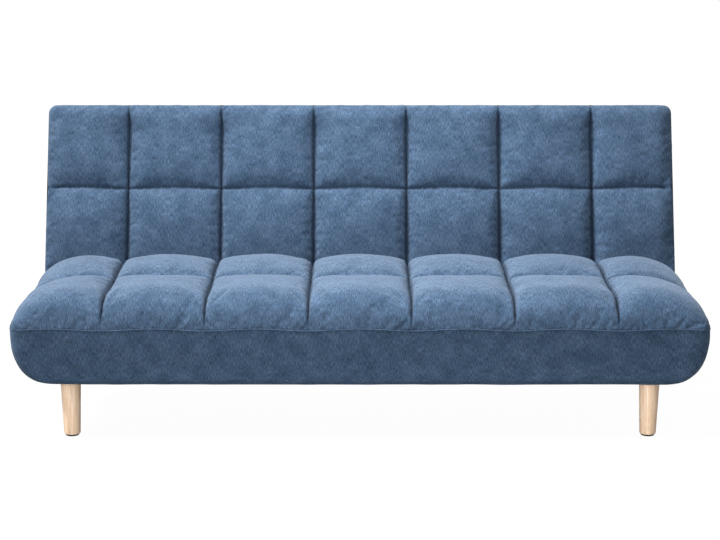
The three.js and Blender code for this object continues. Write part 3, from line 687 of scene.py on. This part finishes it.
def dust_cloth():
    """The thin cloth stapled under the seat, sagging a little between its edges."""
    low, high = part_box("seat_dust_cover")
    x = np.linspace(low.x, high.x, 121)
    y = np.linspace(low.y, high.y, 41)
    u, s = np.meshgrid(x, y)
    edge = np.minimum(high.x - np.abs(u), np.minimum(s - low.y, high.y - s))
    sag = 0.004 * ease(edge / 0.15) + 0.0012 * ease(edge / 0.02) * waves(u, s, (0.06, 0.06), 41.5)
    points = np.stack([u, s, low.z - sag], axis=2)
    return grid_piece("dust_cloth", points[::-1], u, s[::-1])


# ------------------------------------------------------------------ backrest
def place_back(points):
    """Moves points from the backrest's own frame to the shared frame."""
    x, y, z = points[..., 0], points[..., 1], points[..., 2]
    turned_y = PIVOT.y + y * math.cos(LEAN) + z * math.sin(LEAN)
    turned_z = PIVOT.z - y * math.sin(LEAN) + z * math.cos(LEAN)
    return np.stack([x, turned_y, turned_z], axis=-1)


def outside_pockets(local):
    """Which quads of a grid, in the backrest's own frame, lie clear of the two hinge pockets."""
    middle = (local[:-1, :-1] + local[1:, 1:]) / 2
    x = np.abs(middle[..., 0])
    inside = (x > POCKET_X[0]) & (x < POCKET_X[1])
    inside &= (middle[..., 1] > POCKET_FRONT) & (middle[..., 2] < POCKET_TOP)
    return ~inside


def pocket_liner(name, side):
    """The cloth that lines a hinge pocket: its two sides, its front and its top."""
    turn = np.linspace(math.acos(POCKET_FRONT / BACK_R), 0, 24)
    nose = np.stack([np.cos(turn), -np.sin(turn)], axis=1) * BACK_R
    mouth = resample(chain(nose, [[BACK_R, POCKET_TOP]]))
    inner = np.array([mouth[0], [POCKET_FRONT, POCKET_TOP], mouth[-1]])
    share = np.linspace(0, 1, len(mouth))
    inner = points_at(inner, share * lengths(inner)[-1])
    left, right = sorted(side * np.array(POCKET_X))
    walls = [(left, mouth), (left, inner), (right, inner), (right, mouth)]
    columns = [np.column_stack([np.full(len(line), x), line]) for x, line in walls]
    local = np.stack(columns, axis=1)
    return grid_piece(name, place_back(local), local[..., 0], local[..., 1] + local[..., 2])


def back_across():
    """(x, share of the roll's depth) from the left side seam to the right one."""
    roll = quarter(BACK_POWER) * [BACK_SIDE_ROLL, BACK_ROLL] + [BACK_HALF - BACK_SIDE_ROLL, 0]
    stops = [COLUMN_SEAMS[-1], *POCKET_X]
    flat = [resample([[a, BACK_ROLL], [b, BACK_ROLL]]) for a, b in zip(stops, stops[1:])]
    outer = seam_end(resample(chain([[POCKET_X[1], BACK_ROLL]], roll)))
    return mirrored_line(chain(column_lines(), chain(*flat, outer) / [1, BACK_ROLL]))


def back_along():
    """(length, y, z, normal y, normal z, share of the roll) up the backrest's seam surface.

    It starts behind the rounded lower end, passes under it and runs up the front to the top.
    """
    angle = np.linspace(0, math.pi, round(math.pi * BACK_R / STEP))
    nose = np.stack([np.cos(angle), -np.sin(angle)], axis=1)
    lower = np.column_stack([angle * BACK_R, nose * BACK_CORE, nose, np.ones_like(angle)])
    roll = quarter(BACK_POWER) * [BACK_TOP_ROLL, BACK_ROLL] + [BACK_TOP - BACK_TOP_ROLL, 0]
    upper = seam_end(resample(chain([[BACK_ROW, BACK_ROLL]], roll)))
    face = chain(resample([[0, BACK_ROLL], [BACK_ROW, BACK_ROLL]]), upper)[1:]
    run = lengths(face) + lower[-1, 0] + STEP
    y, normal_y, normal_z = (np.full(len(face), v) for v in (-BACK_CORE, -1.0, 0.0))
    upper = np.column_stack([run, y, face[:, 0], normal_y, normal_z, face[:, 1] / BACK_ROLL])
    return np.concatenate([lower, upper])


def back_quilt():
    """The quilted front of the backrest, from behind its rounded lower end to the top seam."""
    across, along = back_across(), back_along()
    (x, f), (s, y, z, normal_y, normal_z, g) = spread(across, along)
    flat_x = x
    row_at = along[np.argmin(np.abs(along[:, 2] - BACK_ROW)), 0]
    row = np.abs(s - row_at)
    z = z + SEAM_WAVE * np.cos(2 * math.pi * x / COLUMN) * np.exp(-((row / 0.06) ** 2))
    x, z = round_corner(x, z, BACK_HALF - BACK_CORNER, BACK_TOP - BACK_CORNER, BACK_CORNER, 1)
    proud = BACK_ROLL * f * g
    base = np.stack([x, y + normal_y * proud, z + normal_z * proud], axis=2)
    run_u = lengths(across * [1, BACK_ROLL])
    (u,), _ = spread(run_u[:, None] - run_u[-1] / 2, along[:, :1])
    whole = along[-1, 0]
    column = column_distance(flat_x)
    side = run_u[-1] / 2 - np.abs(u)
    border = np.minimum(side, np.minimum(s, whole - s))
    start = ease(s / BACK_START)
    clear_of_sides = ease(side / BACK_ROW_FADE)
    across_dip = column_valley(column, BACK_COLUMN_EDGES, ease((whole - s) / BACK_RISE)) * start
    along_dip = valley(row, *BACK_ROW_EDGE, *BACK_ROW_CROWN)
    along_dip *= BACK_ROW_SHARE + (1 - BACK_ROW_SHARE) * clear_of_sides
    reach, depth = BACK_LOWER_CROWN
    lower = np.abs(s - math.pi * BACK_R)
    along_dip += depth * np.clip(1 - lower / reach, 0, 1) ** 2 * start * clear_of_sides
    dip = np.hypot(across_dip, along_dip)
    keep = outside_pockets(base)
    placed = place_back(base)
    held = s < NOSE_HELD
    return quilt("back_quilt", placed, u, s, column, row, dip, border, 21.5, held, keep)


def back_band():
    """The band over the top and down both sides of the backrest."""
    a = np.linspace(0, math.pi / 2, 9)[1:]
    corner = np.stack([np.cos(a), np.sin(a)], axis=1) * BACK_CORNER
    corner += [BACK_HALF - BACK_CORNER, BACK_TOP - BACK_CORNER]
    side = resample([[BACK_HALF, -BACK_CORE], [BACK_HALF, BACK_TOP - BACK_CORNER]], PLAIN_STEP)
    top = resample([corner[-1], corner[-1] * [-1, 1]], PLAIN_STEP)
    path = chain(side, corner, top, corner[::-1] * [-1, 1], side[::-1] * [-1, 1])
    z = path[:, 1]
    nose = np.sqrt(np.clip(BACK_CORE ** 2 - np.minimum(z, 0) ** 2, 0, None))
    rear_flat = BACK_R - BACK_REAR_ROLL
    front = np.where(z < 0, -nose, -BACK_CORE)
    rear = np.where(z < 0, nose, BACK_CORE + (rear_flat - BACK_CORE) * ease(z / 0.08))
    share = np.linspace(0, 1, 15)
    y = front[:, None] + (rear - front)[:, None] * share
    x, z = (np.tile(c[:, None], (1, len(share))) for c in path.T)
    s = np.tile(lengths(path)[:, None], (1, len(share)))
    local = np.stack([x, y, z], axis=2)
    bulge = 4 * share * (1 - share) * (0.002 + 0.001 * waves(y, s, (0.05, 0.05), 51.5))
    local += normals(local) * bulge[:, :, None]
    return grid_piece("back_band", place_back(local), y, s)


def back_panel():
    """The plain rear of the backrest, with openings for the hinges."""
    z = resample([[0, 1], [BACK_TOP - BACK_REAR_ROLL, 1]], PLAIN_STEP)
    z[:, 0] = np.where(np.abs(z[:, 0] - POCKET_TOP) < PLAIN_STEP / 2, POCKET_TOP, z[:, 0])
    up = chain(z, quarter(count=8) * [BACK_REAR_ROLL, 1] + [BACK_TOP - BACK_REAR_ROLL, 0])
    rows = []
    for height, g in up:
        blend = 1 - ease(height / 0.08)
        width = BACK_REAR_ROLL + (BACK_SIDE_ROLL - BACK_REAR_ROLL) * blend
        depth = BACK_REAR_ROLL + (BACK_ROLL - BACK_REAR_ROLL) * blend
        stops = [0, *POCKET_X, BACK_HALF - width]
        counts = (88, 7, 12)
        flat = [np.linspace(a, b, n, endpoint=False) for a, b, n in zip(stops, stops[1:], counts)]
        flat = np.concatenate(flat)
        roll = quarter(BACK_POWER, 14) * [width, 1] + [BACK_HALF - width, 0]
        line = mirrored_line(np.concatenate([np.stack([flat, np.ones_like(flat)], 1), roll]))
        x, f = line.T
        rows.append(np.stack([x, BACK_R - depth + depth * f * g, np.full(len(x), height)], axis=1))
    local = np.array(rows)[:, ::-1]
    u, s = local[:, :, 0].copy(), local[:, :, 2].copy()
    edge = np.minimum(BACK_HALF - np.abs(u), np.minimum(s, BACK_TOP - s))
    lumps = 0.0022 * waves(u, s, (0.25, 0.14), 61.5) + 0.0008 * waves(u, s, (0.06, 0.06), 63.5)
    local[:, :, 1] += lumps * ease((edge - 0.02) / 0.06)
    keep = outside_pockets(local)
    corner = (BACK_HALF - BACK_CORNER, BACK_TOP - BACK_CORNER, BACK_CORNER, 1)
    local[:, :, 0], local[:, :, 2] = round_corner(u, s, *corner)
    return grid_piece("back_panel", place_back(local), u, s, keep)


# ------------------------------------------------------------------ legs
LEG_TAPER = 0.0055  # a leg's foot has a radius this much smaller than its top
LEG_FOOT_EDGE = 0.003  # softened edge of the foot
LEG_TOP_EDGE = 0.002  # and of the top


def turned_piece(name, profile, x, y, segments=64):
    """A turned piece with its axis upright at (x, y), from (radius, height) points."""
    profile = np.asarray(profile, float)
    angle = np.linspace(0, 2 * math.pi, segments + 1)
    radius, height = (np.tile(c[:, None], (1, segments + 1)) for c in profile.T)
    points = np.stack([x + radius * np.cos(angle), y + radius * np.sin(angle), height], axis=2)
    u = np.tile(angle * 0.025, (len(profile), 1))
    return grid_piece(name, points, u, height)


def leg(node, wood):
    """A tapered wooden leg with a softened foot, in place of its CAD node."""
    low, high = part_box(node)
    middle = (low + high) / 2
    top = (high.x - low.x) / 2
    foot = top - LEG_TAPER
    profile = [
        (0, low.z),
        (foot - LEG_FOOT_EDGE, low.z),
        (foot - 0.001, low.z + 0.0008),
        (foot, low.z + LEG_FOOT_EDGE),
        (top, high.z - LEG_TOP_EDGE),
        (top - LEG_TOP_EDGE, high.z),
        (0, high.z),
    ]
    piece = turned_piece(f"{node}_wood", profile, middle.x, middle.y)
    finish_piece(piece, "seat", wood)
    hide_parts(node)
    return piece


# ------------------------------------------------------------------ assembly
fabric = chenille()
seat = finish_piece(seat_quilt(), "seat", fabric, levels=1)
finish_piece(seat_band(), "seat", fabric)
finish_piece(seat_welt(), "seat", fabric)
back = finish_piece(back_quilt(), "back", fabric, levels=1)
finish_piece(back_band(), "back", fabric)
finish_piece(back_panel(), "back", fabric)
for side, word in ((-1, "left"), (1, "right")):
    finish_piece(pocket_liner(f"back_pocket_{word}", side), "back", fabric)
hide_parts("seat_cover", "seat_foam")
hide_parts("back_cover", "back_foam")

wood = beech()
legs = [leg(f"leg_{end}_{side}", wood) for end in ("front", "rear") for side in ("left", "right")]

# The hard parts are the CAD nodes themselves, each with the material of its slot.
DUST_CLOTH_THICKNESS = 0.0008
STEEL_EDGE = 0.0004  # softened corner of the cut steel
FINISH = {
    "black_steel": powder_coat(),
    "zinc_steel": zinc(),
    "black_plastic": moulded_plastic(),
    "black_cloth": woven("dust_cloth", grey(0.006), grey(0.02), 90),
    "webbing": woven("webbing", (0.45, 0.42, 0.36, 1), (0.68, 0.64, 0.55, 1), 70),
}
black_cloth = FINISH["black_cloth"]
dust = finish_piece(dust_cloth(), "seat", black_cloth, thickness=DUST_CLOTH_THICKNESS)
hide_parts("seat_dust_cover")
for part in frame["record"]["subparts"]:
    node = frame["nodes"][part["node"]]
    slot = part["material_slot"]
    if slot in FINISH:
        node.data.materials.clear()
        node.data.materials.append(FINISH[slot])
    if slot in ("black_steel", "zinc_steel"):
        bevel = node.modifiers.new("edges", "BEVEL")
        bevel.width = STEEL_EDGE
        bevel.segments = 2
        bevel.limit_method = "ANGLE"


# ------------------------------------------------------------------ studio
FLOOR_SIZE = 120
FLOOR_GLOW = 0.97
SKY_STRENGTH = 0.36
SKY_STOPS = ((0.35, 0.80), (0.65, 1.0))  # (height, brightness), from 0 straight down to 1 straight up


def pale_floor():
    """A pale floor that glows softly and sends no light back onto the sofa."""
    bpy.ops.mesh.primitive_plane_add(size=FLOOR_SIZE)
    floor = bpy.context.object
    floor.name = "floor"
    made = Nodes("pale_floor")
    made.shader.inputs["Base Color"].default_value = grey(0.045)
    made.shader.inputs["Emission Color"].default_value = grey(1.0)
    made.shader.inputs["Emission Strength"].default_value = FLOOR_GLOW
    made.shader.inputs["Roughness"].default_value = 0.9
    made.shader.inputs["Specular IOR Level"].default_value = 0.0
    floor.data.materials.append(made.material)
    floor.visible_diffuse = False
    floor.visible_glossy = False


def sky():
    """An even studio sky, a little darker towards the floor."""
    world = bpy.data.worlds.new("studio")
    world.use_nodes = True
    tree = world.node_tree
    place = tree.nodes.new("ShaderNodeTexCoord")
    split = tree.nodes.new("ShaderNodeSeparateXYZ")
    half = tree.nodes.new("ShaderNodeMath")
    half.operation = "MULTIPLY_ADD"
    half.inputs[1].default_value = 0.5
    half.inputs[2].default_value = 0.5
    ramp = tree.nodes.new("ShaderNodeValToRGB")
    for stop, (height, value) in zip(ramp.color_ramp.elements, SKY_STOPS):
        stop.position = height
        stop.color = grey(value)
    background = tree.nodes["Background"]
    background.inputs["Strength"].default_value = SKY_STRENGTH
    tree.links.new(place.outputs["Generated"], split.inputs[0])
    tree.links.new(split.outputs["Z"], half.inputs[0])
    tree.links.new(half.outputs[0], ramp.inputs["Fac"])
    tree.links.new(ramp.outputs["Color"], background.inputs["Color"])
    bpy.context.scene.world = world


def soft_lamp(name, kind, energy, place, aim=(0, 0, 0), **settings):
    """A lamp at this place that shines towards its aim. A sun takes only its direction from them."""
    data = bpy.data.lights.new(name, kind)
    data.energy = energy
    for key, value in settings.items():
        setattr(data, key, value)
    lamp = bpy.data.objects.new(name, data)
    lamp.location = place
    lamp.rotation_euler = (Vector(place) - Vector(aim)).to_track_quat("Z", "Y").to_euler()
    lamp.visible_camera = False
    bpy.context.scene.collection.objects.link(lamp)
    return lamp


def lamps(legs):
    """Soft light from above and the left, a pool on the middle seats, and light off the floor.

    The rear fill shows the rear panel in views from behind, and the last lamp lights only the legs.
    """
    soft_lamp("overhead", "SUN", 3.9, (-0.80, -0.03, 1.15), angle=math.radians(18))
    soft_lamp("key_left", "AREA", 37.0, (-2.1, -0.8, 2.2), aim=(-0.6, 0.35, 0.70), size=1.0)
    soft_lamp("pool", "AREA", 22.0, (0.05, -0.55, 1.75), aim=(0.05, -0.22, 0.36), size=0.6)
    strip = {"shape": "RECTANGLE", "size": 2.2, "size_y": 0.15}
    soft_lamp("floor_bounce", "AREA", 9.5, (0, -1.7, 0.10), aim=(0, FRONT, 0.24), **strip)
    soft_lamp("rear_fill", "SUN", 1.6, (0.45, 0.90, 0.35), angle=math.radians(40))
    fill = soft_lamp("leg_fill", "SUN", 2.2, (-0.45, -0.85, 0.15), angle=math.radians(30))
    lit = bpy.data.collections.new("lit_legs")
    for piece in legs:
        lit.objects.link(piece)
    fill.light_linking.receiver_collection = lit


CAMERA_AWAY = 4.45  # in front of the seat
CAMERA_UP = 1.404
CAMERA_DOWN = math.radians(12)  # how far it looks down
CAMERA_LENS = 89.68  # millimetres, on a sensor 36 mm wide
CAMERA_SENSOR = 36


def camera():
    """The camera in front of the middle of the sofa."""
    data = bpy.data.cameras.new("camera")
    data.sensor_width = CAMERA_SENSOR
    data.lens = CAMERA_LENS
    eye = bpy.data.objects.new("camera", data)
    eye.location = (0, FRONT - CAMERA_AWAY, CAMERA_UP)
    eye.rotation_euler = (math.radians(90) - CAMERA_DOWN, 0, 0)
    bpy.context.scene.collection.objects.link(eye)
    bpy.context.scene.camera = eye


pale_floor()
sky()
lamps(legs)
camera()
bpy.context.scene.view_settings.view_transform = "Standard"
